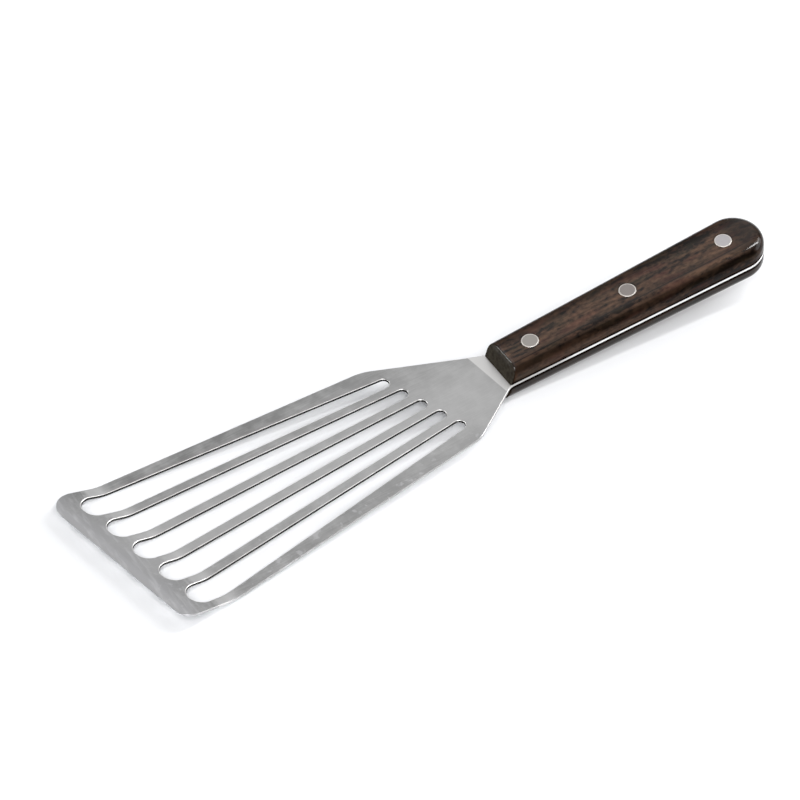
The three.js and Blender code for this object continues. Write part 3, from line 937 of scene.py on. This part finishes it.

# %% [markdown]
# Oil leaves a gloss on the flat faces, on the eased arris and, less, on the lower scale. The left side,
# the end grain, the band beside the tang and the front corners stay dull. One roughness could spread the
# shine instead, but oil in the wood changes how much is mirrored more than how sharply, so the specular
# level follows these places.

# %% Gloss
BARE_GLOSS = 0.08
arris_gloss = (behind_cut, 1.3, 0.9, where((height, 6.2, 7.2, 0.45)))
shine = BARE_GLOSS
for gloss in ((height, 7, 7.4, 0.32), (up_down, -0.5, -1.5, 0.14), arris_gloss):
    shine = add(tree, "Math", {0: where(gloss), 1: shine}, operation="ADD")
corner = (behind_cut, 1.6, 0.8, where((height, 7.2, 6.2)))
dull = where((from_middle, 2, 6.5, 0.9), (behind_cut, 0.2, 0.05, 0.8), dark_by_tang, corner)
kept = add(tree, "Math", {0: 1.0, 1: dull}, operation="SUBTRACT")
shine = add(tree, "Math", {0: shine, 1: kept}, operation="MULTIPLY")
rough = add(tree, "MapRange", {"Value": pore, "To Min": 0.15, "To Max": 0.45})
bump = add(tree, "Bump", {"Height": pore, "Strength": 0.3, "Distance": 0.05 * MM}, invert=True)
feed(surface, {"Base Color": stained, "Specular IOR Level": shine, "Roughness": rough, "Normal": bump})
for piece in (upper, lower):
    piece.data.materials.append(wood)
print("nodes in the wood's finish:", len(tree.nodes))

# %% [markdown]
# ## Ground rivet steel
# The rivet heads were ground flush together with the wood, on a finer belt, so they show faint lines along
# the handle. The three heads differ in brightness. Tilting the heads could show that, but they lie flush, so
# each has its own grey. The broken rim was polished by the last pass over the wood and is a thin bright
# ring.

# %% The rivets' finish
def ground_steel(place, tint):
    """Ground steel of one grey, with roughness in fine lines along the handle."""
    # gives the eye a flat, even grey; real lines are finer and are drawn 0.4 mm apart so that they show
    made, tree, surface, own = material(f"ground rivet steel, {place}")
    ends = {"From Min": 0.3, "From Max": 0.7, "To Min": 0.38, "To Max": 0.5}
    rough = add(tree, "MapRange", {"Value": patches(own, 9, 0.4, 3.0), **ends})
    feed(surface, {"Base Color": linear(tint), "Metallic": 1.0, "Roughness": rough})
    return made


rim_ring = ground_steel("rim", "#f0ebe5")
# each head has its own grey, the rear one lightest and the middle one darkest
for place, tint in (("rear", "#d1cdcf"), ("middle", "#a69f9c"), ("front", "#b7b2ad")):
    head_face = ground_steel(place, tint)
    for piece in rivet_halves[place]:
        piece.data.materials.append(head_face)
        piece.data.materials.append(rim_ring)
    print(place, "rivet:", [finish.name for finish in piece.data.materials])

# %% [markdown]
# ## The table
# The tool lies on a white table that runs out of the picture on all sides. A curved backdrop could hide the
# far edge, but a table of some metres is enough, as its edges lie far outside the view. Its paint is matt,
# so the tool leaves soft shadows on it and no mirror image.

# %% The table
TABLE_REACH = 8.0
table_corners = [(x * TABLE_REACH, y * TABLE_REACH, 0) for x, y in ((-1, -1), (1, -1), (1, 1), (-1, 1))]
table_mesh = bpy.data.meshes.new("white table")
table_mesh.from_pydata(table_corners, [], [(0, 1, 2, 3)])
table = bpy.data.objects.new("white table", table_mesh)
bpy.context.collection.objects.link(table)
# gives the eye an even white ground
table_paint, _, surface, _ = material("white table paint")
feed(surface, {"Base Color": linear("#f2f3f5"), "Roughness": 0.9, "Specular IOR Level": 0.2})
table_mesh.materials.append(table_paint)
print("table:", 2 * TABLE_REACH, "m wide")

# %% [markdown]
# ## The room
# Steel shows the room round it as much as its own colour. A picture of a studio could light it, but a plain
# room does: dim all round, with a pale wall behind the tool on the right, which fades with the angle from
# its middle.

# %% The room
ROOM_LIGHT, WALL_LIGHT, WALL_FADE = 0.11, 0.66, 6
WALL_TOWARDS = (0.42, 0.62, 0.66)
scene = bpy.context.scene
scene.view_settings.view_transform = "Standard"
scene.world = bpy.data.worlds.new("studio")
scene.world.use_nodes = True
room = scene.world.node_tree
aim = add(room, "TexCoord", {}).node.outputs["Generated"]
towards = add(room, "VectorMath", {0: aim, 1: WALL_TOWARDS}, operation="DOT_PRODUCT")
facing = add(room, "Clamp", {"Value": towards})
spread = add(room, "Math", {0: facing, 1: WALL_FADE}, operation="POWER")
light = add(room, "Math", {0: spread, 1: WALL_LIGHT, 2: ROOM_LIGHT}, operation="MULTIPLY_ADD")
feed(room.nodes["Background"], {"Color": (1, 1, 1, 1), "Strength": light})
print("nodes in the room:", len(room.nodes))

# %% [markdown]
# ## The lights
# The photograph is a product shot in soft light. One big lamp could give that, but the oiled wood shows
# where each light stands. A narrow strip and a low box on the right draw the streaks on the butt, a box by
# the camera lights the sides that face us, a faint box overhead fills in, and a strip behind on the left
# lifts the blade's far side.

# %% Soft boxes
SOFT_BOXES = (
    ("strip on the right", (1.05, -0.12, 1.06), 0.07, 1.05, 9),
    ("low box on the right", (1.45, -0.35, 0.5), 1.0, 0.7, 14),
    ("box by the camera", (-0.6, -1.0, 1.2), 1.0, 1.0, 22),
    ("box overhead", (0.0, 0.0, 1.5), 2.0, 2.0, 1.5),
    ("strip behind, left", (-0.76, 0.81, 0.85), 0.2, 0.9, 5),
)
STEEP = 0.9


def soft_box(name, at, width, height, power):
    """An area light that faces the middle of the tool. Its height runs up, or along y if it is overhead."""
    data = bpy.data.lights.new(name, "AREA")
    data.shape, data.size, data.size_y, data.energy = "RECTANGLE", width, height, power
    box = bpy.data.objects.new(name, data)
    back = np.array(at, float) / np.linalg.norm(at)
    across = np.cross([0, 0.01, 1] if back[2] < STEEP else [0, 1, 0.01], back)
    across /= np.linalg.norm(across)
    pose = Matrix(np.stack([across, np.cross(back, across), back], axis=1).tolist()).to_4x4()
    pose.translation = at
    box.matrix_world = pose
    bpy.context.collection.objects.link(box)
    print(f"{name}: {width} by {height} m, {power} W")


for box in SOFT_BOXES:
    soft_box(*box)

# %% [markdown]
# ## The camera
# The photograph was taken with a long lens. We could place the camera by eye, but it was fitted to the
# rivets and the outlines, so its angles, its distance and its lens are known. It looks past the handle's
# front end, and the fit was made with the tool at 5 degrees, so the camera follows the last bit of tilt.

# %% The camera
AZIMUTH, ELEVATION, DISTANCE = 0.5503, 0.8162, 1.4
LOOKS_RIGHT, LOOKS_UP = 0.037506, 0.010937
FOCAL_PIXELS, PHOTO_PIXELS, SENSOR = 3640, 800, 36
FITTED_TILT = math.radians(5)
right = np.array([math.cos(AZIMUTH), -math.sin(AZIMUTH), 0])
away = np.array([math.sin(AZIMUTH), math.cos(AZIMUTH), 0])
up = away * math.sin(ELEVATION) + np.array([0, 0, math.cos(ELEVATION)])
ahead = away * math.cos(ELEVATION) - np.array([0, 0, math.sin(ELEVATION)])
follow = np.array(Matrix.Rotation(FITTED_TILT - REST_TILT, 3, "Y"))
at = TOOL_AT * MM - follow @ (LOOKS_RIGHT * right + LOOKS_UP * up + DISTANCE * ahead)
lens = bpy.data.cameras.new("long lens")
lens.sensor_width = SENSOR
lens.lens = FOCAL_PIXELS / PHOTO_PIXELS * SENSOR
camera = bpy.data.objects.new("camera", lens)
pose = Matrix((follow @ np.stack([right, up, -ahead], axis=1)).tolist()).to_4x4()
pose.translation = at
camera.matrix_world = pose
bpy.context.collection.objects.link(camera)
scene.camera = camera
print(f"lens {lens.lens:.1f} mm at {at.round(3)}")
